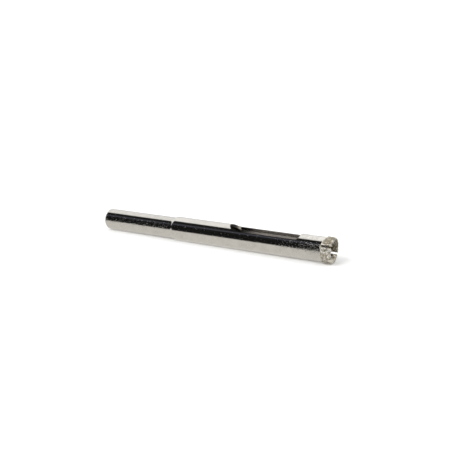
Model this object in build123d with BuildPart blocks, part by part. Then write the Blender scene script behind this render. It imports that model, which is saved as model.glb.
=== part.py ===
"""Diamond drill bit: a plain-shank core bit turned from one steel bar and plated with diamond grit.

The tool lies along X with its cutting crown at +X and the window in its side facing +Z.
The origin is on the tool's axis, half way along its length.  All sizes are in millimetres.
"""

from build123d import *
import math
import os

# Overall sizes
tool_length = 80.0
body_diameter = 7.5
shank_diameter = 6.75
shank_length = 25.4

# Turned edges of the bar
shank_end_chamfer = 0.65
neck_length = 1.4

# Bore that the core goes into
bore_diameter = 6.2
bore_depth = 36.5
bore_point_angle = 118.0

# Window milled through the wall on the +Z side, to push the core out
window_width = 5.44
window_length = 23.6
window_from_tip = 10.55
window_depth_below_axis = 0.0
window_front_corner_radius = 1.2

# Saw cut across the cutting rim, measured between its coated walls
notch_width = 1.0
notch_depth = 2.95
notch_angle = -30.0

# Grit coat, thinner inside the bore where less plating reaches
coat_outer_thickness = 0.25
coat_rim_thickness = 0.25
coat_bore_thickness = 0.2
coat_notch_thickness = 0.2
lip_outer_radius = 0.4
lip_bore_radius = 0.3

# Cutters run past the faces they cut by this much
overrun = 1.0

# Radii and stations along the axis
body_radius = body_diameter / 2
shank_radius = shank_diameter / 2
bore_radius = bore_diameter / 2
crown_radius = body_radius + coat_outer_thickness
mouth_radius = bore_radius - coat_bore_thickness

rear_x = -tool_length / 2
tip_x = tool_length / 2
shank_front_x = rear_x + shank_length
body_rear_x = shank_front_x + neck_length
neck_middle_x = (shank_front_x + body_rear_x) / 2
neck_middle_radius = (shank_radius + body_radius) / 2
steel_tip_x = tip_x - coat_rim_thickness
bore_end_x = tip_x - bore_depth
bore_point_x = bore_end_x - bore_radius / math.tan(math.radians(bore_point_angle / 2))
notch_floor_x = tip_x - notch_depth
coat_rear_x = notch_floor_x - coat_notch_thickness
window_front_x = tip_x - window_from_tip
window_rear_x = window_front_x - window_length
window_end_radius = window_width / 2
window_mill_x = window_rear_x + window_end_radius

axis_plane = Plane.XZ
tool_axis = Axis.X
towards_tip = (1, 0)
towards_rear = (-1, 0)
window_plane = Plane.XY.offset(-window_depth_below_axis)
window_cut = window_depth_below_axis + body_radius + overrun
notch_span = 2 * (crown_radius + overrun)

# Steel body: shank, neck and body turned from one bar and bored from the tip; the neck is a smooth
# S-curve, and a straight line where shank and body are equally thick
with BuildPart() as steel_body:
    with BuildSketch(axis_plane):
        with BuildLine():
            Polyline(
                (bore_point_x, 0),
                (rear_x, 0),
                (rear_x, shank_radius - shank_end_chamfer),
                (rear_x + shank_end_chamfer, shank_radius),
                (shank_front_x, shank_radius),
            )
            if body_radius == shank_radius:
                Line((shank_front_x, shank_radius), (body_rear_x, body_radius))
            else:
                TangentArc(
                    (shank_front_x, shank_radius),
                    (neck_middle_x, neck_middle_radius),
                    tangent=towards_tip,
                )
                TangentArc(
                    (body_rear_x, body_radius),
                    (neck_middle_x, neck_middle_radius),
                    tangent=towards_rear,
                )
            Polyline(
                (body_rear_x, body_radius),
                (steel_tip_x, body_radius),
                (steel_tip_x, bore_radius),
                (bore_end_x, bore_radius),
                (bore_point_x, 0),
            )
        make_face()
    revolve(axis=tool_axis)

    # Window: a milled slot with a round rear end and small corners at its front
    with BuildSketch(window_plane):
        with Locations(((window_mill_x + window_front_x) / 2, 0)):
            Rectangle(window_front_x - window_mill_x, window_width)
        fillet(vertices().group_by(Axis.X)[-1], radius=window_front_corner_radius)
        with Locations((window_mill_x, 0)):
            Circle(window_end_radius)
    extrude(amount=window_cut, mode=Mode.SUBTRACT)

    # Notch across the rim, with room for the coat that lines it
    with BuildSketch(Plane.YZ.offset(coat_rear_x)):
        Rectangle(notch_span, notch_width + 2 * coat_notch_thickness, rotation=notch_angle)
    extrude(amount=tip_x - coat_rear_x + overrun, mode=Mode.SUBTRACT)

# Diamond coat: grit plated over the outside, rim, mouth and notches of the crown
with BuildPart() as diamond_coat:
    with BuildSketch(axis_plane):
        with BuildLine():
            Polyline(
                (coat_rear_x, mouth_radius),
                (coat_rear_x, crown_radius),
                (tip_x - lip_outer_radius, crown_radius),
            )
            RadiusArc(
                (tip_x - lip_outer_radius, crown_radius),
                (tip_x, crown_radius - lip_outer_radius),
                lip_outer_radius,
            )
            Line((tip_x, crown_radius - lip_outer_radius), (tip_x, mouth_radius + lip_bore_radius))
            RadiusArc(
                (tip_x, mouth_radius + lip_bore_radius),
                (tip_x - lip_bore_radius, mouth_radius),
                lip_bore_radius,
            )
            Line((tip_x - lip_bore_radius, mouth_radius), (coat_rear_x, mouth_radius))
        make_face()
    revolve(axis=tool_axis)
    with BuildSketch(Plane.YZ.offset(notch_floor_x)):
        Rectangle(notch_span, notch_width, rotation=notch_angle)
    extrude(amount=notch_depth + overrun, mode=Mode.SUBTRACT)
    add(steel_body.part, mode=Mode.SUBTRACT)

os.makedirs("parts", exist_ok=True)

steel_body.part.label = "steel_body"
export_step(steel_body.part, "parts/steel_body.step")

diamond_coat.part.label = "diamond_coat"
export_step(diamond_coat.part, "parts/diamond_coat.step")
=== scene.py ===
"""Diamond drill bit lying on a white studio sweep.

A nickel-plated steel bar carries a crown plated with diamond grit.  Lengths in the classes are in
millimetres and become metres where a mesh is made.  The tool lies along X, its crown at +X.
"""

import logging
import math
import random
from dataclasses import dataclass
from enum import Enum
from typing import Iterable, Sequence

import bmesh
import bpy
from mathutils import Euler, Matrix, Vector, kdtree, noise

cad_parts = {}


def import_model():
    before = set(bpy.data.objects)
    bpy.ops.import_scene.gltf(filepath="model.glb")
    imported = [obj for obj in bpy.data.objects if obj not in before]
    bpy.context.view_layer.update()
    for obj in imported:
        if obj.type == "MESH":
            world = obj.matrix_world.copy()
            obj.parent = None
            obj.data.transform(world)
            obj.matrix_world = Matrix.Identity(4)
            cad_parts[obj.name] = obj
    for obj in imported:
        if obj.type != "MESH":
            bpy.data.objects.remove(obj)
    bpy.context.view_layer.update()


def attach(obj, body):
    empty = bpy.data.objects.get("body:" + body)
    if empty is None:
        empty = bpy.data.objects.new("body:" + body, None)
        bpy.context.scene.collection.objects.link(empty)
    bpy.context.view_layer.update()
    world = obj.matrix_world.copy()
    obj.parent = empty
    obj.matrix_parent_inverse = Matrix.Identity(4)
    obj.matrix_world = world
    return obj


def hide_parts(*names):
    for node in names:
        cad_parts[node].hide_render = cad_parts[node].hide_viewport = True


LOG = logging.getLogger("drill_bit")
MM = 0.001
BODY = "root"
TINT = "grain_tint"
UNROLL_RADIUS = 3.6
MERGE_DISTANCE = 0.0005 * MM

Span = tuple[float, float]
Triple = tuple[float, float, float]
Colour = Triple
Socket = bpy.types.NodeSocket


class Slot(Enum):
    """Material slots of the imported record."""

    STEEL = "nickel_plated_steel"
    GRIT = "diamond_grit"


def metres(*values: float) -> Vector:
    """Turns millimetres into a vector in metres.

    Args:
        *values: the three coordinates in millimetres.

    Returns:
        The same point in metres.
    """
    return Vector(values) * MM


def piece_from(mesh: bmesh.types.BMesh, name: str) -> bpy.types.Object:
    """Writes a bmesh into a new object at the origin and frees it.

    Args:
        mesh: the finished bmesh, in metres.
        name: the piece's name.

    Returns:
        The new object, linked to the scene.
    """
    data = bpy.data.meshes.new(name)
    mesh.to_mesh(data)
    mesh.free()
    piece = bpy.data.objects.new(name, data)
    bpy.context.scene.collection.objects.link(piece)
    return piece


def bake(piece: bpy.types.Object) -> None:
    """Applies every modifier of a piece to its mesh.

    Args:
        piece: the piece, which loses its modifiers.
    """
    graph = bpy.context.evaluated_depsgraph_get()
    finished = bpy.data.meshes.new_from_object(piece.evaluated_get(graph))
    raw = piece.data
    piece.modifiers.clear()
    piece.data = finished
    finished.name = piece.name
    bpy.data.meshes.remove(raw)


def carve(piece: bpy.types.Object, cutters: Iterable[bpy.types.Object]) -> None:
    """Cuts the cutters' shapes out of a piece and removes the cutters.

    Args:
        piece: the solid that is cut.
        cutters: closed solids that overlap it.
    """
    tools = list(cutters)
    for tool in tools:
        cut = piece.modifiers.new(tool.name, "BOOLEAN")
        cut.operation = "DIFFERENCE"
        cut.solver = "EXACT"
        cut.object = tool
    bake(piece)
    for tool in tools:
        bpy.data.objects.remove(tool)


def turned(profile: Sequence[Span], steps: int, closed: bool) -> bmesh.types.BMesh:
    """Turns a half profile about the X axis into a closed solid.

    Args:
        profile: (x, radius) corners in millimetres.
        steps: facets round the axis.
        closed: whether the last corner joins the first, as on a ring.

    Returns:
        The solid as a bmesh in metres, its normals outwards.
    """
    mesh = bmesh.new()
    corners = [mesh.verts.new(metres(x, 0.0, radius)) for x, radius in profile]
    pairs = list(zip(corners, corners[1:]))
    if closed:
        pairs.append((corners[-1], corners[0]))
    edges = [mesh.edges.new(pair) for pair in pairs]
    bmesh.ops.spin(
        mesh, geom=corners + edges, cent=(0.0, 0.0, 0.0), axis=(1.0, 0.0, 0.0),
        angle=math.tau, steps=steps, use_merge=True,
    )
    bmesh.ops.remove_doubles(mesh, verts=mesh.verts, dist=MERGE_DISTANCE)
    bmesh.ops.recalc_face_normals(mesh, faces=mesh.faces)
    return mesh


def round_ring(
    mesh: bmesh.types.BMesh, x: float, radius: float, offset: float, segments: int = 3
) -> None:
    """Rounds one turned edge of a solid.

    Args:
        mesh: the turned solid.
        x: place of the edge along the axis, in millimetres.
        radius: the edge's radius in millimetres.
        offset: width of the rounding in millimetres.
        segments: facets across the rounding.
    """
    near = 0.002 * MM

    def on_ring(vert: bmesh.types.BMVert) -> bool:
        """Tells whether a corner lies on the edge."""
        return abs(vert.co.x - x * MM) < near and abs(vert.co.yz.length - radius * MM) < near

    ring = [edge for edge in mesh.edges if all(on_ring(vert) for vert in edge.verts)]
    bmesh.ops.bevel(
        mesh, geom=ring, offset=offset * MM, affect="EDGES", segments=segments, profile=0.5,
        material=-1,
    )


def slab(name: str, size: Vector, centre: Vector, turn_x: float = 0.0) -> bpy.types.Object:
    """Makes a cutting block.

    Args:
        name: the block's name.
        size: its lengths in millimetres.
        centre: its centre in millimetres.
        turn_x: its turn about the tool's axis in degrees.

    Returns:
        The block as an object.
    """
    mesh = bmesh.new()
    place = (
        Matrix.Rotation(math.radians(turn_x), 4, "X")
        @ Matrix.Translation(centre * MM)
        @ Matrix.Diagonal((*(size * MM), 1.0))
    )
    bmesh.ops.create_cube(mesh, size=1.0, matrix=place)
    return piece_from(mesh, name)


def shade(piece: bpy.types.Object, angle: float) -> None:
    """Shades a piece smooth, apart from edges sharper than an angle.

    Args:
        piece: the piece to shade.
        angle: the sharpest smooth edge in degrees.
    """
    mesh = bmesh.new()
    mesh.from_mesh(piece.data)
    sharp = math.radians(angle)
    for face in mesh.faces:
        face.smooth = True
    for edge in mesh.edges:
        edge.smooth = len(edge.link_faces) == 2 and edge.calc_face_angle(0.0) < sharp
    mesh.to_mesh(piece.data)
    mesh.free()


@dataclass(frozen=True)
class Crown:
    """Sizes of the cutting end that steel and coat share, and the cutters' overrun, in mm."""

    tip_x: float = 40.0
    radius: float = 4.0
    mouth_radius: float = 2.9
    notch_width: float = 1.0
    notch_depth: float = 2.95
    notch_angle: float = -30.0
    notch_plating: float = 0.2
    rim_plating: float = 0.25
    overrun: float = 1.0

    @property
    def notch_floor_x(self) -> float:
        """Place of the notch's coated floor."""
        return self.tip_x - self.notch_depth

    @property
    def rear_x(self) -> float:
        """Place where the coat ends on the body, before its edge wanders."""
        return self.notch_floor_x - self.notch_plating

    def above_notch(self, place: Vector) -> float:
        """Gives a place's height above the notch's middle plane.

        Args:
            place: the place in millimetres.

        Returns:
            The height in millimetres, negative below the plane.
        """
        lean = math.radians(self.notch_angle)
        return place.z * math.cos(lean) - place.y * math.sin(lean)

    def notch_cutter(self, name: str, width: float, floor_x: float) -> bpy.types.Object:
        """Makes the block that saws the notch across the rim.

        Args:
            name: the block's name.
            width: the cut's width.
            floor_x: place of the cut's floor.

        Returns:
            The block as an object.
        """
        length = self.tip_x + self.overrun - floor_x
        size = Vector((length, 2.0 * (self.radius + self.overrun), width))
        return slab(name, size, Vector((floor_x + length / 2.0, 0.0, 0.0)), self.notch_angle)


@dataclass
class SteelBar:
    """The turned, bored and milled bar: shank, neck and body.

    neck_fill and window_round are the shares of their room that these roundings take up.
    """

    crown: Crown
    rear_x: float = -40.0
    shank_radius: float = 3.375
    shank_length: float = 25.4
    neck_length: float = 1.4
    neck_fill: float = 0.97
    neck_steps: int = 8
    end_bevel: float = 0.65
    end_round: float = 0.3
    body_radius: float = 3.75
    bore_radius: float = 3.1
    bore_depth: float = 36.5
    bore_point: float = 118.0
    window_width: float = 5.44
    window_length: float = 23.6
    window_from_tip: float = 10.55
    window_corner: float = 1.2
    window_round: float = 0.999
    window_steps: int = 24
    corner_steps: int = 10
    facets: int = 192
    smooth_angle: float = 25.0

    @property
    def shank_front_x(self) -> float:
        """Place where the shank meets the neck."""
        return self.rear_x + self.shank_length

    @property
    def body_rear_x(self) -> float:
        """Place where the blended neck meets the body."""
        return self.shank_front_x + self.neck_length

    @property
    def neck_round(self) -> float:
        """Length of the neck's flat slope that each of its two roundings takes up."""
        step = self.body_radius - self.shank_radius
        slope = 2.0 * math.atan(step / self.neck_length)
        return step / (2.0 * math.sin(slope))

    def profile(self) -> list[Span]:
        """Lists the corners of the bored bar's half section.

        Returns:
            The corners as (x, radius) in millimetres.
        """
        steel_tip_x = self.crown.tip_x - self.crown.rim_plating
        bore_end_x = self.crown.tip_x - self.bore_depth
        cone = self.bore_radius / math.tan(math.radians(self.bore_point / 2.0))
        return [
            (self.rear_x, 0.0),
            (self.rear_x, self.shank_radius - self.end_bevel),
            (self.rear_x + self.end_bevel, self.shank_radius),
            (self.shank_front_x + self.neck_round, self.shank_radius),
            (self.body_rear_x - self.neck_round, self.body_radius),
            (steel_tip_x, self.body_radius),
            (steel_tip_x, self.bore_radius),
            (bore_end_x, self.bore_radius),
            (bore_end_x - cone, 0.0),
        ]

    def window_cutter(self) -> bpy.types.Object:
        """Makes the milling shape of the window: round at its rear, small corners at its front.

        Returns:
            The shape as an object.
        """
        front = self.crown.tip_x - self.window_from_tip
        rear = front - self.window_length
        half = self.window_width / 2.0
        mesh = bmesh.new()
        corners = [(front, -half), (front, half), (rear, half), (rear, -half)]
        verts = [mesh.verts.new(metres(x, y, 0.0)) for x, y in corners]
        mesh.faces.new(verts)
        bmesh.ops.bevel(
            mesh, geom=verts[2:], offset=self.window_round * half * MM, affect="VERTICES",
            segments=self.window_steps, profile=0.5, material=-1,
        )
        near = 0.001 * MM
        nose = [v for v in mesh.verts if abs(v.co.x - front * MM) < near]
        bmesh.ops.bevel(
            mesh, geom=nose, offset=self.window_corner * MM, affect="VERTICES",
            segments=self.corner_steps, profile=0.5, material=-1,
        )
        raised = bmesh.ops.extrude_face_region(mesh, geom=list(mesh.faces))
        top = [g for g in raised["geom"] if isinstance(g, bmesh.types.BMVert)]
        height = self.body_radius + self.crown.overrun
        bmesh.ops.translate(mesh, verts=top, vec=metres(0.0, 0.0, height))
        bmesh.ops.recalc_face_normals(mesh, faces=mesh.faces)
        return piece_from(mesh, "window_cutter")

    def build(self) -> bpy.types.Object:
        """Builds the bar as one smooth solid.

        Returns:
            The finished steel piece.
        """
        neck_front_x = self.shank_front_x + self.neck_round
        neck_back_x = self.body_rear_x - self.neck_round
        blend = self.neck_fill * self.neck_round
        mesh = turned(self.profile(), self.facets, closed=False)
        round_ring(mesh, self.rear_x, self.shank_radius - self.end_bevel, self.end_round)
        round_ring(mesh, self.rear_x + self.end_bevel, self.shank_radius, self.end_round)
        round_ring(mesh, neck_front_x, self.shank_radius, blend, self.neck_steps)
        round_ring(mesh, neck_back_x, self.body_radius, blend, self.neck_steps)
        bar = piece_from(mesh, "plated_bar")
        width = self.crown.notch_width + 2.0 * self.crown.notch_plating
        saw = self.crown.notch_cutter("rim_saw", width, self.crown.rear_x)
        carve(bar, [self.window_cutter(), saw])
        shade(bar, self.smooth_angle)
        even = bar.modifiers.new("even_normals", "WEIGHTED_NORMAL")
        even.keep_sharp = True
        bake(bar)
        return bar


@dataclass(frozen=True)
class GrainTones:
    """How pale the grains are, from 0 for dark olive to 1 for bright.

    Each place on the crown adds its own value.  Heights are measured from the notch's middle
    plane, in millimetres.
    """

    middle: float = 0.52
    scatter: float = 0.13
    cloud_size: float = 0.9
    cloud_depth: float = 1.25
    bore: Span = (-0.35, 0.5)
    bore_radius: float = 3.3
    rim_depth: float = 0.3
    # Painted light on the notch's upward-facing lower wall; painted shade darkens the rest of the
    # notch.
    lit_notch_side: float = 0.05
    notch_side_height: float = 0.25
    painted_notch_shade: float = -0.5
    notch_clearance: float = 0.05
    # Painted light: grains on the tooth below the notch are paler where the key light falls.
    painted_tooth_light: float = 0.4
    painted_tooth_light_height: float = 1.9
    # Painted highlight: a row of paler grains along the notch's upper edge.
    lip_highlight: float = 0.55
    lip_highlight_width: float = 0.35
    # A darker band of grains above the notch's upper edge.
    darker_band: float = -0.42
    darker_band_height: float = 1.6
    top: float = -0.24

    def change(self, above: float, edge: float) -> float:
        """Gives what a place outside the bore adds to a grain's tone, with painted shade and
        painted light by the notch.

        Args:
            above: the place's height above the notch's middle plane.
            edge: the height of the notch's edge.

        Returns:
            The change of tone.
        """
        # Painted light on the notch's lower wall, then painted shade inside the notch.
        if -edge < above < -self.notch_side_height:
            return self.lit_notch_side
        if abs(above) < edge - self.notch_clearance:
            return self.painted_notch_shade
        # Painted light on the tooth below the notch.
        if -self.painted_tooth_light_height < above < 0.0:
            return self.painted_tooth_light
        # Painted highlight along the notch's upper edge.
        if 0.0 < above < edge + self.lip_highlight_width:
            return self.lip_highlight
        # Darker band above the notch's upper edge.
        if 0.0 < above < self.darker_band_height:
            return self.darker_band
        return self.top if above > 0.0 else 0.0

    def pick(self, place: Vector, crown: Crown, rng: random.Random) -> float:
        """Picks one grain's tone.

        Args:
            place: the grain's place in millimetres.
            crown: the crown that it sits on.
            rng: the source of chance.

        Returns:
            The tone from 0 to 1.
        """
        cloud = noise.noise(place / self.cloud_size)
        tone = self.middle + self.cloud_depth * cloud + rng.uniform(-self.scatter, self.scatter)
        if place.yz.length < self.bore_radius and place.x < crown.tip_x - self.rim_depth:
            tone += rng.uniform(*self.bore)
        else:
            tone += self.change(crown.above_notch(place), 0.5 * crown.notch_width)
        return min(max(tone, 0.0), 1.0)


@dataclass
class DiamondCrown:
    """The plated crown: a lumpy nickel bond and the grains that it holds.

    The bond lies one bond_inset inside the crown's sizes, and its notch is narrower by
    notch_insets of them.  rear_edge lists (degrees from the front, millimetres forward).
    """

    crown: Crown
    tones: GrainTones = GrainTones()
    facets: int = 160
    bond_inset: float = 0.07
    notch_insets: float = 3.0
    lip_outer: float = 0.34
    lip_outer_steps: int = 5
    lip_inner: float = 0.26
    lip_inner_steps: int = 4
    voxel: float = 0.1
    smooth_angle: float = 60.0
    lump_height: float = 0.05
    lump_size: float = 0.34
    fine_lump_scale: float = 2.1
    fine_lump_share: float = 0.5
    steel_radius: float = 3.72
    buried_length: float = 0.12
    rear_facing: float = -0.7
    rear_ring: float = 0.01
    grain_spacing: float = 0.26
    spacing_range: Span = (0.85, 1.2)
    grain_radius: Span = (0.11, 0.2)
    grain_width: Span = (0.75, 1.25)
    grain_height: Span = (0.75, 1.1)
    grain_sink: Span = (-0.6, 0.1)
    grain_reach: float = 0.11
    rear_edge: tuple[Span, ...] = (
        (0.0, 0.15), (12.0, 0.0), (24.0, -0.35), (42.0, 0.0), (62.0, 0.45), (90.0, 0.75),
        (150.0, 0.3), (210.0, 0.0), (300.0, 0.15), (360.0, 0.15),
    )
    seed: int = 7

    def build_bond(self) -> bpy.types.Object:
        """Builds the nickel bond as a ring with rounded lips, notched and lumpy.

        Returns:
            The bond's piece.
        """
        shape = self.crown
        inset = self.bond_inset
        tip = shape.tip_x - inset
        outer = shape.radius - inset
        inner = shape.mouth_radius + inset / 2.0
        corners = [(shape.rear_x, inner), (shape.rear_x, outer), (tip, outer), (tip, inner)]
        mesh = turned(corners, self.facets, closed=True)
        rear_limit = (shape.rear_x + self.rear_ring) * MM
        for vert in mesh.verts:
            if vert.co.x < rear_limit:
                vert.co.x += self.wander(vert.co) * MM
        round_ring(mesh, tip, outer, self.lip_outer, self.lip_outer_steps)
        round_ring(mesh, tip, inner, self.lip_inner, self.lip_inner_steps)
        bond = piece_from(mesh, "nickel_bond")
        width = shape.notch_width - self.notch_insets * inset
        carve(bond, [shape.notch_cutter("bond_saw", width, shape.notch_floor_x - inset / 2.0)])
        remesh = bond.modifiers.new("even_faces", "REMESH")
        remesh.mode = "VOXEL"
        remesh.voxel_size = self.voxel * MM
        bake(bond)
        self.lump(bond)
        shade(bond, self.smooth_angle)
        return bond

    def wander(self, place: Vector) -> float:
        """Gives how far forward the coat's rear edge lies at a turn about the axis.

        Args:
            place: a point at that turn.

        Returns:
            The distance in millimetres.
        """
        turn = math.degrees(math.atan2(place.z, -place.y)) % 360.0
        for (start, low), (end, high) in zip(self.rear_edge, self.rear_edge[1:]):
            if start <= turn <= end:
                share = 0.5 - 0.5 * math.cos(math.pi * (turn - start) / (end - start))
                return low + (high - low) * share
        return 0.0

    def lump(self, bond: bpy.types.Object) -> None:
        """Moves the bond's surface in and out, as plating grows over buried grit.

        Args:
            bond: the bond's piece.
        """
        mesh = bmesh.new()
        mesh.from_mesh(bond.data)
        mesh.normal_update()
        for vert in mesh.verts:
            cell = vert.co / (self.lump_size * MM)
            fine = noise.noise(self.fine_lump_scale * cell)
            height = noise.noise(cell) + self.fine_lump_share * fine
            vert.co += vert.normal * height * self.lump_height * MM
        mesh.to_mesh(bond.data)
        mesh.free()

    def exposed(self, place: Vector, normal: Vector) -> bool:
        """Tells whether a face of the bond lies clear of the steel inside it.

        Args:
            place: the face's centre in metres.
            normal: the face's normal.

        Returns:
            True where a grain there would show.
        """
        ahead = place.x / MM > self.crown.rear_x + self.buried_length
        if ahead and normal.x > self.rear_facing:
            return True
        return place.yz.length / MM > self.steel_radius

    def scatter(self, bond: bpy.types.Object) -> list[tuple[Vector, Vector]]:
        """Picks places for the grains over the bond's exposed faces.

        Args:
            bond: the finished bond.

        Returns:
            (place, normal) of each grain, no two nearer than the spacing.
        """
        rng = random.Random(self.seed)
        faces = [f for f in bond.data.polygons if self.exposed(f.center, f.normal)]
        rng.shuffle(faces)
        tree = kdtree.KDTree(len(faces))
        for index, face in enumerate(faces):
            tree.insert(face.center, index)
        tree.balance()
        taken = [False] * len(faces)
        places = []
        for index, face in enumerate(faces):
            if taken[index]:
                continue
            places.append((face.center.copy(), face.normal.copy()))
            reach = self.grain_spacing * rng.uniform(*self.spacing_range) * MM
            for _, other, _ in tree.find_range(face.center, reach):
                taken[other] = True
        return places

    def seat(self, place: Vector, normal: Vector, rng: random.Random) -> Matrix:
        """Picks one grain's size, turn and depth in the bond.

        Args:
            place: the grain's place on the bond in metres.
            normal: the bond's normal there.
            rng: the source of chance.

        Returns:
            The matrix that makes the grain from a ball of radius 1.
        """
        radius = rng.uniform(*self.grain_radius)
        spans = (self.grain_width, self.grain_width, self.grain_height)
        stretch = Vector([rng.uniform(*span) for span in spans])
        turn = Euler([rng.uniform(0.0, math.tau) for _ in range(3)]).to_matrix().to_4x4()
        limit = self.crown.radius + self.grain_reach
        room = limit - place.yz.length / MM - max(stretch) * radius
        sink = min(rng.uniform(*self.grain_sink) * radius, room) * MM
        size = Matrix.Diagonal((*(stretch * radius * MM), 1.0))
        return Matrix.Translation(place + normal * sink) @ turn @ size

    def build_grains(self, bond: bpy.types.Object) -> bpy.types.Object:
        """Builds the diamond grains, each a small blocky crystal half sunk in the bond.

        Args:
            bond: the bond that holds them.

        Returns:
            One piece with every grain, its tint kept per face.
        """
        rng = random.Random(self.seed + 1)
        mesh = bmesh.new()
        tint = mesh.faces.layers.float.new(TINT)
        places = self.scatter(bond)
        for place, normal in places:
            made = bmesh.ops.create_icosphere(
                mesh, subdivisions=1, radius=1.0, matrix=self.seat(place, normal, rng)
            )
            tone = self.tones.pick(place / MM, self.crown, rng)
            for face in {f for v in made["verts"] for f in v.link_faces}:
                face[tint] = tone
        LOG.info("grains: %d", len(places))
        return piece_from(mesh, "diamond_grains")


@dataclass(frozen=True)
class Pattern:
    """A noise texture: its scale, detail and roughness, and its stretch per axis, if any."""

    scale: float
    detail: float
    roughness: float = 0.5
    stretch: Triple | None = None


class NodeSheet:
    """Adds and links shader nodes in one tree."""

    def __init__(self, tree: bpy.types.NodeTree) -> None:
        """Starts on a tree.

        Args:
            tree: the tree that gets the nodes.
        """
        self.tree = tree

    def add(self, kind: str, **settings: object) -> bpy.types.Node:
        """Adds a node and sets its properties.

        Args:
            kind: the node's type name.
            **settings: attributes of the node.

        Returns:
            The node.
        """
        node = self.tree.nodes.new(kind)
        for key, value in settings.items():
            setattr(node, key, value)
        return node

    def link(self, source: Socket, target: Socket) -> None:
        """Links one socket to another.

        Args:
            source: the output.
            target: the input.
        """
        self.tree.links.new(source, target)

    def fill(self, target: Socket, value: object) -> None:
        """Links an input to a socket, or sets it to a number or a colour.

        Args:
            target: the input.
            value: a socket, a number or an (r, g, b) tuple.
        """
        if isinstance(value, Socket):
            self.link(value, target)
        elif isinstance(value, tuple):
            target.default_value = (*value, 1.0)
        else:
            target.default_value = value

    def math(self, operation: str, *values: object, clamp: bool = False) -> Socket:
        """Adds a Math node.

        Args:
            operation: its operation.
            *values: a socket or a number for each input that it uses.
            clamp: whether the result stays between 0 and 1.

        Returns:
            The result's socket.
        """
        node = self.add("ShaderNodeMath", operation=operation, use_clamp=clamp)
        for target, value in zip(node.inputs, values):
            self.fill(target, value)
        return node.outputs[0]

    def fold(self, operation: str, first: Socket, *others: object) -> Socket:
        """Joins several values by one operation, from the left.

        Args:
            operation: the Math node's operation.
            first: the first value.
            *others: the sockets or numbers that follow.

        Returns:
            The result's socket.
        """
        for other in others:
            first = self.math(operation, first, other)
        return first

    def mix(self, factor: Socket, first: object, second: object) -> Socket:
        """Mixes two colours.

        Args:
            factor: the second colour's share.
            first: a socket or an (r, g, b) tuple.
            second: a socket or an (r, g, b) tuple.

        Returns:
            The colour's socket.
        """
        node = self.add("ShaderNodeMix", data_type="RGBA")
        for name, value in (("Factor", factor), ("A", first), ("B", second)):
            self.fill(node.inputs[name], value)
        return node.outputs["Result"]

    def ramp(self, source: Socket, stops: Sequence[tuple[float, Colour]]) -> Socket:
        """Adds a Color Ramp.

        Args:
            source: the value that drives it.
            stops: (position, (r, g, b)) in rising order.

        Returns:
            The colour's socket.
        """
        node = self.add("ShaderNodeValToRGB")
        marks = node.color_ramp.elements
        while len(marks) < len(stops):
            marks.new(0.5)
        for mark, (position, colour) in zip(marks, stops):
            mark.position = position
            mark.color = (*colour, 1.0)
        self.link(source, node.inputs[0])
        return node.outputs[0]

    def noise(self, vector: Socket, pattern: Pattern) -> Socket:
        """Adds a Noise Texture.

        Args:
            vector: the place that it's read at.
            pattern: how it looks.

        Returns:
            The value's socket.
        """
        if pattern.stretch:
            stretched = self.add("ShaderNodeVectorMath", operation="MULTIPLY")
            stretched.inputs[1].default_value = pattern.stretch
            self.link(vector, stretched.inputs[0])
            vector = stretched.outputs[0]
        node = self.add("ShaderNodeTexNoise")
        node.inputs["Scale"].default_value = pattern.scale
        node.inputs["Detail"].default_value = pattern.detail
        node.inputs["Roughness"].default_value = pattern.roughness
        self.link(vector, node.inputs["Vector"])
        return node.outputs["Fac"]

    def span(self, value: Socket, ends: Span) -> Socket:
        """Maps a range of values to 0..1, clamped.

        Args:
            value: the value.
            ends: the value that becomes 0 and the one that becomes 1.

        Returns:
            The result's socket.
        """
        node = self.add("ShaderNodeMapRange", clamp=True)
        node.inputs["From Min"].default_value, node.inputs["From Max"].default_value = ends
        self.link(value, node.inputs["Value"])
        return node.outputs["Result"]

    def split(self, vector: Socket) -> bpy.types.NodeOutputs:
        """Splits a vector into its coordinates.

        Args:
            vector: the vector.

        Returns:
            The sockets, by the names X, Y and Z.
        """
        node = self.add("ShaderNodeSeparateXYZ")
        self.link(vector, node.inputs[0])
        return node.outputs

    def bump(self, height: Socket, distance: float) -> Socket:
        """Adds a Bump node.

        Args:
            height: the height, 1 for the whole distance.
            distance: the distance in metres.

        Returns:
            The normal's socket.
        """
        node = self.add("ShaderNodeBump")
        node.inputs["Strength"].default_value = 1.0
        node.inputs["Distance"].default_value = distance
        self.link(height, node.inputs["Height"])
        return node.outputs["Normal"]


def new_material(name: str) -> tuple[bpy.types.Material, NodeSheet]:
    """Starts a material.

    Args:
        name: its name.

    Returns:
        The material and the sheet of its nodes.
    """
    material = bpy.data.materials.new(name)
    material.use_nodes = True
    return material, NodeSheet(material.node_tree)


def darker(colour: Colour, share: float) -> Colour:
    """Scales a colour.

    Args:
        colour: the full colour.
        share: how much of it is kept.

    Returns:
        The scaled colour.
    """
    return tuple(share * channel for channel in colour)


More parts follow.
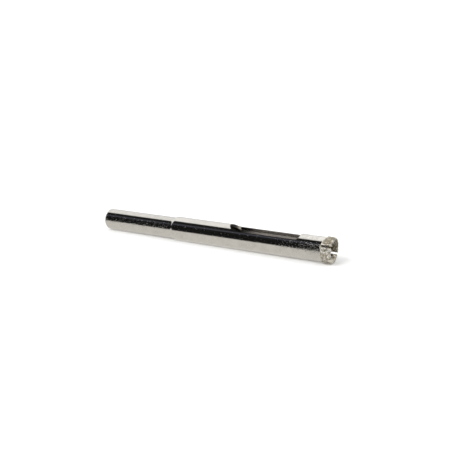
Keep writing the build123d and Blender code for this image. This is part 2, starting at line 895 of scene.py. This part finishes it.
def turned_coordinates() -> bpy.types.NodeTree:
    """Builds the node group that tells where a point of a turned piece lies.

    Returns:
        A group with four outputs in millimetres: Unrolled holds (x, arc at UNROLL_RADIUS,
        radius), Place the plain place, Along the x and Radius the distance from the axis.
    """
    tree = bpy.data.node_groups.new("TurnedCoordinates", "ShaderNodeTree")
    kinds = {"Unrolled": "Vector", "Place": "Vector", "Along": "Float", "Radius": "Float"}
    for name, kind in kinds.items():
        tree.interface.new_socket(name, in_out="OUTPUT", socket_type=f"NodeSocket{kind}")
    sheet = NodeSheet(tree)
    place = sheet.add("ShaderNodeVectorMath", operation="SCALE")
    place.inputs["Scale"].default_value = 1.0 / MM
    sheet.link(sheet.add("ShaderNodeTexCoord").outputs["Object"], place.inputs[0])
    parts = sheet.split(place.outputs[0])
    angle = sheet.math("ARCTAN2", parts["Y"], parts["Z"])
    flat = sheet.add("ShaderNodeVectorMath", operation="MULTIPLY")
    flat.inputs[1].default_value = (0.0, 1.0, 1.0)
    sheet.link(place.outputs[0], flat.inputs[0])
    reach = sheet.add("ShaderNodeVectorMath", operation="LENGTH")
    sheet.link(flat.outputs[0], reach.inputs[0])
    joined = sheet.add("ShaderNodeCombineXYZ")
    sheet.link(parts["X"], joined.inputs["X"])
    sheet.link(sheet.math("MULTIPLY", angle, UNROLL_RADIUS), joined.inputs["Y"])
    sheet.link(reach.outputs["Value"], joined.inputs["Z"])
    out = sheet.add("NodeGroupOutput")
    sheet.link(joined.outputs[0], out.inputs["Unrolled"])
    sheet.link(place.outputs[0], out.inputs["Place"])
    sheet.link(parts["X"], out.inputs["Along"])
    sheet.link(reach.outputs["Value"], out.inputs["Radius"])
    return tree


@dataclass(frozen=True)
class WornZone:
    """A length of the tool where the plate is scuffed, from where it starts to where it's full."""

    ends: Span
    amount: float


@dataclass(frozen=True)
class PlatePlaces:
    """Sockets that say where a point of the plated bar lies."""

    flat: Socket
    place: Socket
    along: Socket
    inside: Socket
    outside: Socket
    above: Socket
    below: Socket
    specks: Socket


@dataclass(frozen=True)
class NickelFinish:
    """Bright nickel plate over turned steel, scuffed where a chuck and the stone rubbed it.

    Places along the tool, arcs round it and radii are in millimetres.
    """

    colour: Colour = (0.665, 0.645, 0.605)
    dull: float = 0.93
    mark_dull: float = 0.72
    roughness: float = 0.10
    ring_roughness: float = 0.05
    scuff_roughness: float = 0.32
    scuff_height: float = 0.02
    ring_height: float = 0.0012
    dent_height: float = 0.004
    base_wear: float = 0.4
    chuck: WornZone = WornZone((-13.0, -17.0), 0.42)
    stone: WornZone = WornZone((21.0, 33.0), 0.75)
    speck_limit: float = 0.68
    speck_gain: float = 0.2
    speck_contrast: float = 8.0
    bore_radius: Span = (3.17, 3.15)
    turned_radius: Span = (3.70, 3.73)
    solid_end: Span = (1.0, 0.5)
    # Inner faces darken towards the window's rear end, between these places.
    rear_dark_end: Span = (8.1, 7.2)
    rear_dark_colour: Colour = (0.27, 0.265, 0.25)
    bore_colour: Colour = (0.60, 0.58, 0.56)
    bore_roughness: float = 0.25
    upper_side: Span = (-2.4, -1.7)
    lower_side: Span = (-2.8, -3.7)
    cloud_range: Span = (0.4, 0.65)
    grip_range: Span = (0.5, 0.6)
    ring_range: Span = (0.45, 0.75)
    rings: Pattern = Pattern(1.0, 3.0, 0.6, (6.0, 0.35, 1.0))
    dents: Pattern = Pattern(2.6, 2.0, 0.55)
    clouds: Pattern = Pattern(0.35, 2.0)
    specks: Pattern = Pattern(1.0, 3.0, 0.62, (1.9, 3.6, 1.0))
    scratches: Pattern = Pattern(1.0, 2.0, 0.6, (5.0, 9.0, 1.0))

    def find_places(self, sheet: NodeSheet, coordinates: bpy.types.NodeTree) -> PlatePlaces:
        """Adds the nodes that say where a point of the bar lies.

        Args:
            sheet: the material's nodes.
            coordinates: the TurnedCoordinates group.

        Returns:
            The sockets.
        """
        where = sheet.add("ShaderNodeGroup", node_tree=coordinates).outputs
        turn = sheet.split(where["Unrolled"])["Y"]
        turned_face = sheet.span(where["Radius"], self.turned_radius)
        return PlatePlaces(
            flat=where["Unrolled"],
            place=where["Place"],
            along=where["Along"],
            inside=sheet.span(where["Radius"], self.bore_radius),
            outside=sheet.math("MAXIMUM", turned_face, sheet.span(where["Along"], self.solid_end)),
            above=sheet.span(turn, self.upper_side),
            below=sheet.span(turn, self.lower_side),
            specks=sheet.noise(where["Unrolled"], self.specks),
        )

    def scuff(self, sheet: NodeSheet, at: PlatePlaces) -> Socket:
        """Adds the nodes that say how scuffed the outside is.

        Args:
            sheet: the material's nodes.
            at: where the point lies.

        Returns:
            A value from 0 to 1.
        """
        zones = [
            sheet.math("MULTIPLY", sheet.span(at.along, zone.ends), zone.amount)
            for zone in (self.chuck, self.stone)
        ]
        wear = sheet.fold("ADD", *zones, self.base_wear)
        wear = sheet.math("MULTIPLY", wear, sheet.math("MAXIMUM", at.above, at.below))
        limit = sheet.math("MULTIPLY_ADD", wear, -self.speck_gain, self.speck_limit)
        over = sheet.math("SUBTRACT", at.specks, limit)
        scuffed = sheet.math("MULTIPLY", over, self.speck_contrast, clamp=True)
        return sheet.math("MULTIPLY", scuffed, at.outside)

    def tint(self, sheet: NodeSheet, at: PlatePlaces) -> Socket:
        """Adds the nodes of the colour: cloudy plate, a darker bore, inner faces darker towards
        the window's rear end, chuck marks.

        Args:
            sheet: the material's nodes.
            at: where the point lies.

        Returns:
            The colour's socket.
        """
        cloud = sheet.span(sheet.noise(at.place, self.clouds), self.cloud_range)
        plate = sheet.mix(cloud, self.colour, darker(self.colour, self.dull))
        lined = sheet.mix(at.inside, plate, self.bore_colour)
        # Inner faces turn darker towards the window's rear end.
        hollow = sheet.math("SUBTRACT", 1.0, at.outside)
        rear_dark = sheet.math("MULTIPLY", hollow, sheet.span(at.along, self.rear_dark_end))
        rear_darkened = sheet.mix(rear_dark, lined, self.rear_dark_colour)
        gripped = sheet.fold(
            "MULTIPLY", sheet.span(at.along, self.chuck.ends), at.above, at.outside,
            sheet.span(at.specks, self.grip_range),
        )
        return sheet.mix(gripped, rear_darkened, darker(self.colour, self.mark_dull))

    def build(self, coordinates: bpy.types.NodeTree) -> bpy.types.Material:
        """Builds the material.

        Args:
            coordinates: the TurnedCoordinates group.

        Returns:
            The finished material.
        """
        material, sheet = new_material("bright_nickel")
        shader = material.node_tree.nodes["Principled BSDF"]
        shader.inputs["Metallic"].default_value = 1.0
        at = self.find_places(sheet, coordinates)
        scuff = self.scuff(sheet, at)
        rings = sheet.noise(at.flat, self.rings)
        sheet.link(self.tint(sheet, at), shader.inputs["Base Color"])

        turned_rough = sheet.span(rings, self.ring_range)
        rough = sheet.math("MULTIPLY_ADD", turned_rough, self.ring_roughness, self.roughness)
        bore_rough = sheet.math("MULTIPLY", at.inside, self.bore_roughness)
        rough = sheet.math("MAXIMUM", rough, bore_rough)
        rough = sheet.math("ADD", rough, sheet.math("MULTIPLY", scuff, self.scuff_roughness))
        sheet.link(rough, shader.inputs["Roughness"])

        ridges = sheet.math("MULTIPLY", rings, self.ring_height)
        dents = sheet.math("MULTIPLY", sheet.noise(at.place, self.dents), self.dent_height)
        fine = sheet.noise(at.flat, self.scratches)
        scratches = sheet.fold("MULTIPLY", fine, scuff, self.scuff_height)
        height = sheet.fold("ADD", ridges, dents, scratches)
        normal = sheet.bump(sheet.math("MULTIPLY", height, at.outside), MM)
        sheet.link(normal, shader.inputs["Normal"])
        return material


@dataclass(frozen=True)
class BondFinish:
    """Nickel that grew over the grit in light and brown patches, darker on its top, with painted
    shade in the bore.
    """

    light: Colour = (0.80, 0.765, 0.69)
    dark: Colour = (0.235, 0.205, 0.145)
    # Painted shade: the bond inside the bore takes this dark brown.
    inside: Colour = (0.21, 0.17, 0.095)
    metallic: float = 0.6
    bore_radius: Span = (3.4, 3.15)
    topside: Span = (2.3, 3.1)
    # How much darker the patches get towards the top.
    topside_darkening: float = 0.12
    patches: Pattern = Pattern(1500.0, 3.0, 0.6)
    patch_range: Span = (0.46, 0.62)
    patch_roughness: float = 0.25
    roughness: float = 0.25
    pits: Pattern = Pattern(9000.0, 3.0, 0.6)
    pit_height: float = 0.06

    def build(self, coordinates: bpy.types.NodeTree) -> bpy.types.Material:
        """Builds the material.

        Args:
            coordinates: the TurnedCoordinates group.

        Returns:
            The finished material.
        """
        material, sheet = new_material("grit_bond")
        shader = material.node_tree.nodes["Principled BSDF"]
        shader.inputs["Metallic"].default_value = self.metallic
        place = sheet.add("ShaderNodeTexCoord").outputs["Object"]
        where = sheet.add("ShaderNodeGroup", node_tree=coordinates).outputs
        patch = sheet.noise(place, self.patches)
        top = sheet.span(sheet.split(where["Place"])["Z"], self.topside)
        # The patches darken towards the top.
        top_darkened = sheet.math("SUBTRACT", patch, sheet.math("MULTIPLY", top, self.topside_darkening))
        stops = [(0.0, self.dark), (1.0, self.light)]
        colour = sheet.ramp(sheet.span(top_darkened, self.patch_range), stops)
        # Painted shade in the bore.
        in_bore = sheet.span(where["Radius"], self.bore_radius)
        sheet.link(sheet.mix(in_bore, colour, self.inside), shader.inputs["Base Color"])
        rough = sheet.math("MULTIPLY_ADD", patch, self.patch_roughness, self.roughness)
        sheet.link(rough, shader.inputs["Roughness"])
        normal = sheet.bump(sheet.noise(place, self.pits), self.pit_height * MM)
        sheet.link(normal, shader.inputs["Normal"])
        return material


@dataclass(frozen=True)
class GrainFinish:
    """Industrial diamond: grains from olive brown to pale grey, the paler ones part plated."""

    stops: tuple[tuple[float, Colour], ...] = (
        (0.0, (0.10, 0.075, 0.025)),
        (0.25, (0.27, 0.235, 0.15)),
        (0.5, (0.55, 0.51, 0.42)),
        (0.8, (0.80, 0.77, 0.70)),
        (1.0, (0.95, 0.93, 0.88)),
    )
    specular: float = 0.9
    index: float = 1.9
    plated: Span = (0.35, 0.6)
    metallic: float = 0.35
    faces: Pattern = Pattern(5000.0, 1.0)
    face_roughness: float = 0.35
    roughness: float = 0.1

    def build(self) -> bpy.types.Material:
        """Builds the material.

        Returns:
            The finished material, which reads each grain's tone from its attribute.
        """
        material, sheet = new_material("diamond_grain")
        shader = material.node_tree.nodes["Principled BSDF"]
        shader.inputs["Specular IOR Level"].default_value = self.specular
        shader.inputs["IOR"].default_value = self.index
        tint = sheet.add("ShaderNodeAttribute", attribute_name=TINT).outputs["Fac"]
        sheet.link(sheet.ramp(tint, self.stops), shader.inputs["Base Color"])
        metal = sheet.math("MULTIPLY", sheet.span(tint, self.plated), self.metallic)
        sheet.link(metal, shader.inputs["Metallic"])
        place = sheet.add("ShaderNodeTexCoord").outputs["Object"]
        face = sheet.noise(place, self.faces)
        rough = sheet.math("MULTIPLY_ADD", face, self.face_roughness, self.roughness)
        sheet.link(rough, shader.inputs["Roughness"])
        return material


@dataclass(frozen=True)
class Viewpoint:
    """The photograph's camera, fitted to the tool's outlines.

    Lengths are in millimetres and angles in degrees; the azimuth is counted from the front.
    """

    target: Triple = (4.115, 0.0, 2.975)
    distance: float = 250.79
    azimuth: float = 26.87
    elevation: float = 15.84
    focal_pixels: float = 800.0
    frame_pixels: float = 452.0
    sensor: float = 36.0

    def build(self) -> bpy.types.Object:
        """Places the camera and makes it the scene's own.

        Returns:
            The camera.
        """
        turn = math.radians(self.azimuth)
        rise = math.radians(self.elevation)
        level = math.cos(rise)
        back = Vector((math.sin(turn) * level, -math.cos(turn) * level, math.sin(rise)))
        lens = bpy.data.cameras.new("viewpoint")
        lens.sensor_width = self.sensor
        lens.lens = self.sensor * self.focal_pixels / self.frame_pixels
        lens.clip_start = MM
        camera = bpy.data.objects.new("viewpoint", lens)
        bpy.context.scene.collection.objects.link(camera)
        camera.location = (Vector(self.target) + self.distance * back) * MM
        camera.rotation_euler = back.to_track_quat("Z", "Y").to_euler()
        bpy.context.scene.camera = camera
        return camera


@dataclass(frozen=True)
class Studio:
    """White sweep lit from the front left, in front of white paper, with a dark room before it.

    The feet are (x, z) and the floor's edges y, in millimetres.  The world's spans are shares of
    the turn from the back (0) over the top to the front (1), or of a direction's lead along X.
    """

    crown_foot: Span = (38.5, -4.0)
    shank_foot: Span = (-39.35, -3.375)
    floor_half: float = 4000.0
    floor_colour: Colour = (0.78, 0.765, 0.735)
    room_edge: Span = (-20.0, -36.0)
    # shade_colour and shade_edge paint the shadow near the tool that the metal mirrors.
    shade_colour: Colour = (0.31, 0.305, 0.295)
    shade_edge: Span = (-1.5, 2.0)
    seen_white: float = 1.08
    fill: float = 0.85
    key_from: Triple = (-0.46, -0.62, 0.64)
    key_strength: float = 1.6
    key_spread: float = 40.0
    paper: float = 1.14
    low_paper: float = 0.82
    paper_edge: Span = (0.512, 0.488)
    paper_rise: Span = (0.03, 0.25)
    paper_end: Span = (1.02, 0.7)
    lamp: float = 4.5
    lamp_edge: Span = (0.68, 0.65)
    lamp_start: Span = (-0.12, -0.02)
    lamp_end: Span = (0.8, 0.5)
    strip: float = 0.085
    strip_colour: Colour = (0.86, 0.9, 1.12)
    strip_top: Span = (0.64, 0.68)
    strip_foot: Span = (0.76, 0.72)
    side: float = 0.16
    side_start: Span = (0.45, 0.7)
    side_edge: Span = (0.9, 0.8)
    room: float = 0.010

    def build_floor(self) -> bpy.types.Object:
        """Lays the white floor under the crown and the end of the thinner shank.

        Returns:
            The floor, which leans a little so that it touches both.
        """
        mesh = bmesh.new()
        bmesh.ops.create_grid(mesh, x_segments=1, y_segments=1, size=self.floor_half * MM)
        run = self.crown_foot[0] - self.shank_foot[0]
        lean = math.atan2(self.shank_foot[1] - self.crown_foot[1], run)
        place = Matrix.Translation(metres(self.crown_foot[0], 0.0, self.crown_foot[1]))
        tilt = Matrix.Rotation(lean, 4, "Y")
        bmesh.ops.transform(mesh, verts=mesh.verts, matrix=place @ tilt)
        floor = piece_from(mesh, "studio_floor")
        floor.data.materials.append(self.floor_finish())
        return floor

    def floor_finish(self) -> bpy.types.Material:
        """Builds the floor's material.

        Returns:
            A white sweep for the camera, and for the metal a glowing copy with a painted shadow
            near the tool and the dark room beyond.
        """
        material, sheet = new_material("white_sweep")
        material.node_tree.nodes.clear()
        rays = sheet.add("ShaderNodeLightPath").outputs
        across = sheet.split(sheet.add("ShaderNodeTexCoord").outputs["Object"])["Y"]
        # For glossy rays the floor glows: painted shadow near the tool, dark beyond room_edge for
        # the room in front.
        near, far = (
            sheet.span(across, (start * MM, full * MM))
            for start, full in (self.shade_edge, self.room_edge)
        )
        shaded = sheet.mix(near, self.floor_colour, self.shade_colour)
        mirrored = sheet.add("ShaderNodeEmission")
        sheet.link(sheet.mix(far, shaded, (self.room,) * 3), mirrored.inputs["Color"])
        plain = sheet.add("ShaderNodeBsdfDiffuse")
        plain.inputs["Color"].default_value = (*self.floor_colour, 1.0)
        bright = sheet.add("ShaderNodeBsdfDiffuse")
        bright.inputs["Color"].default_value = (*(self.seen_white,) * 3, 1.0)
        shown = plain
        for ray, other in (("Is Glossy Ray", mirrored), ("Is Camera Ray", bright)):
            mix = sheet.add("ShaderNodeMixShader")
            sheet.link(rays[ray], mix.inputs[0])
            sheet.link(shown.outputs[0], mix.inputs[1])
            sheet.link(other.outputs[0], mix.inputs[2])
            shown = mix
        out = sheet.add("ShaderNodeOutputMaterial")
        sheet.link(shown.outputs[0], out.inputs["Surface"])
        return material

    def build_key(self) -> bpy.types.Object:
        """Hangs the soft key light at the front left, out of sight of the metal.

        Returns:
            The light.
        """
        light = bpy.data.lights.new("key_light", "SUN")
        light.energy = self.key_strength
        light.angle = math.radians(self.key_spread)
        key = bpy.data.objects.new("key_light", light)
        bpy.context.scene.collection.objects.link(key)
        key.rotation_euler = Vector(self.key_from).to_track_quat("Z", "Y").to_euler()
        key.location = Vector(self.key_from)
        key.visible_glossy = False
        return key

    def build_world(self) -> None:
        """Lights the set: the metal mirrors paper, a lamp, a cool strip and a dark room.

        Other rays meet a plain white, brighter for the camera than for the diffuse surfaces.
        """
        world = bpy.data.worlds.new("studio")
        bpy.context.scene.world = world
        world.use_nodes = True
        sheet = NodeSheet(world.node_tree)
        backdrop = world.node_tree.nodes["Background"]
        rays = sheet.add("ShaderNodeLightPath").outputs
        parts = sheet.split(sheet.add("ShaderNodeTexCoord").outputs["Generated"])
        along = parts["X"]
        turn = sheet.math("ARCTAN2", parts["Z"], parts["Y"])
        share = sheet.math("MAXIMUM", sheet.math("DIVIDE", turn, math.pi), 0.0)
        rise = sheet.span(share, self.paper_rise)
        paper = sheet.fold(
            "MULTIPLY",
            sheet.math("MULTIPLY_ADD", rise, self.paper - self.low_paper, self.low_paper),
            sheet.span(share, self.paper_edge), sheet.span(along, self.paper_end),
        )
        lamp = sheet.fold(
            "MULTIPLY", sheet.span(along, self.lamp_start), sheet.span(along, self.lamp_end),
            sheet.span(share, self.lamp_edge), self.lamp,
        )
        strip = sheet.fold(
            "MULTIPLY", sheet.span(share, self.strip_top), sheet.span(share, self.strip_foot),
            self.strip,
        )
        side = sheet.fold(
            "MULTIPLY", sheet.span(along, self.side_start), sheet.span(share, self.side_edge),
            self.side,
        )
        level = sheet.fold("MAXIMUM", paper, lamp, strip, side, self.room)
        in_strip = sheet.math("GREATER_THAN", strip, sheet.math("MAXIMUM", paper, lamp))
        cool = sheet.math("MULTIPLY", in_strip, rays["Is Glossy Ray"])
        colour = sheet.mix(cool, (1.0, 1.0, 1.0), self.strip_colour)
        sheet.link(colour, backdrop.inputs["Color"])
        white = self.seen_white - self.fill
        soft = sheet.math("MULTIPLY_ADD", rays["Is Camera Ray"], white, self.fill)
        choose = sheet.add("ShaderNodeMix", data_type="FLOAT")
        sheet.link(rays["Is Glossy Ray"], choose.inputs["Factor"])
        sheet.link(soft, choose.inputs["A"])
        sheet.link(level, choose.inputs["B"])
        sheet.link(choose.outputs["Result"], backdrop.inputs["Strength"])
        bpy.context.scene.view_settings.view_transform = "Standard"


def dress(
    piece: bpy.types.Object, material: bpy.types.Material, node: str | None = None
) -> None:
    """Gives a piece its material and its place in the frame.

    Args:
        piece: the finished piece.
        material: its material.
        node: the CAD node that it stands for, if any.
    """
    piece.data.materials.clear()
    piece.data.materials.append(material)
    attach(piece, BODY)
    if node:
        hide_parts(node)
    LOG.info("%s: %d faces, %s", piece.name, len(piece.data.polygons), material.name)


def main() -> None:
    """Builds the tool, its finishes and the set in order."""
    logging.basicConfig(level=logging.INFO, format="%(name)s %(message)s")
    crown = Crown()
    coordinates = turned_coordinates()
    bar = SteelBar(crown).build()
    dress(bar, NickelFinish().build(coordinates), "steel_body")
    plated = DiamondCrown(crown)
    bond = plated.build_bond()
    grains = plated.build_grains(bond)
    dress(bond, BondFinish().build(coordinates), "diamond_coat")
    dress(grains, GrainFinish().build())
    studio = Studio()
    studio.build_floor()
    studio.build_key()
    studio.build_world()
    Viewpoint().build()


if __name__ == "__main__":
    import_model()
    main()
